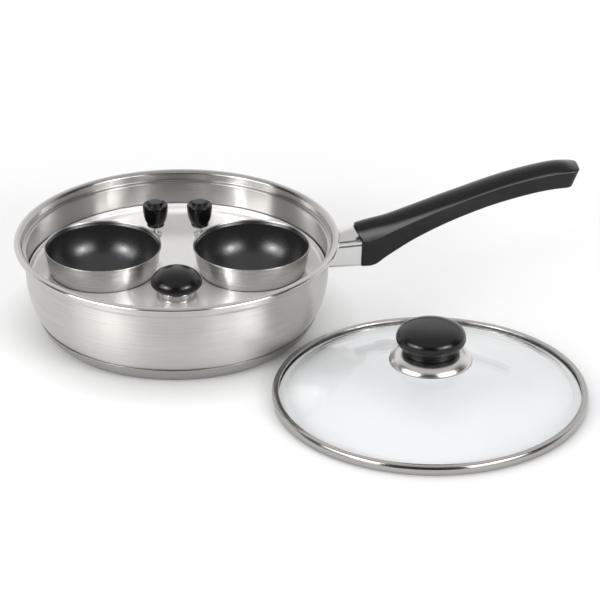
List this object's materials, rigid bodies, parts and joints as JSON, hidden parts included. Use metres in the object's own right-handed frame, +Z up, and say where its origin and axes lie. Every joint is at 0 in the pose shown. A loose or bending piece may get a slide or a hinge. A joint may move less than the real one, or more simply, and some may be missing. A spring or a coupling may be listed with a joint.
{
  "type": "egg poacher pan",
  "caption": "Shallow steel saute pan with a long curved handle, a lift-out insert plate holding non-stick egg cups, and a domed glass lid lying beside it.",
  "frame": {"origin": "middle of the pan base's flat underside", "axes": "+Z up, +X from the pan's axis along the handle"},
  "size_m": [0.3638, 0.3261, 0.0986],
  "materials": {
    "brushed_steel": "fine brushing round the wall, warm grey",
    "base_steel": "turned satin, slightly darker than the wall",
    "satin_steel": "satin with bright edges",
    "rim_steel": "brushed band with polished lip",
    "plain_steel": "plain bright fastener steel",
    "polished_steel": "mirror polished",
    "cup_steel": "brushed outside, charcoal non-stick coating inside",
    "aluminium": "plain",
    "brass": "turned",
    "satin_phenolic": "satin black moulding",
    "gloss_phenolic": "gloss black moulding",
    "silicone": "matte",
    "glass": "clear tempered glass"
  },
  "bodies": {
    "pan": {"pan_body": "brushed_steel", "base_core": "aluminium", "base_cap": "base_steel", "handle_bracket": "plain_steel", "handle_ferrule": "satin_steel", "handle_grip": "satin_phenolic", "handle_screw": "plain_steel"},
    "insert": {"insert_plate": "polished_steel", "insert_knob_collar": "polished_steel", "insert_knob": "gloss_phenolic", "insert_knob_bush": "brass", "insert_washer": "plain_steel", "insert_screw": "plain_steel"},
    "cup_left": {"cup_left_bowl": "cup_steel", "cup_left_bracket": "plain_steel", "cup_left_knob": "gloss_phenolic", "cup_left_stud": "plain_steel"},
    "cup_right": {"cup_right_bowl": "cup_steel", "cup_right_bracket": "plain_steel", "cup_right_knob": "gloss_phenolic", "cup_right_stud": "plain_steel"},
    "lid": {"lid_glass": "glass", "lid_rim": "rim_steel", "lid_gasket": "silicone", "lid_knob_skirt": "polished_steel", "lid_knob": "gloss_phenolic", "lid_knob_bush": "brass", "lid_seal": "silicone", "lid_washer": "plain_steel", "lid_screw": "plain_steel"}
  },
  "joints": [
    {"name": "insert_lift", "type": "slide", "parent": "pan", "child": "insert", "axis": [0, 0, 1], "range_m": [0, 0.09]},
    {"name": "cup_left_lift", "type": "slide", "parent": "insert", "child": "cup_left", "axis": [0, 0, 1], "range_m": [0, 0.06]},
    {"name": "cup_right_lift", "type": "slide", "parent": "insert", "child": "cup_right", "axis": [0, 0, 1], "range_m": [0, 0.06]},
    {"name": "lid_lift", "type": "slide", "parent": "pan", "child": "lid", "axis": [0.3396, -0.2911, 0.8944], "range_m": [0, 0.12]}
  ]
}
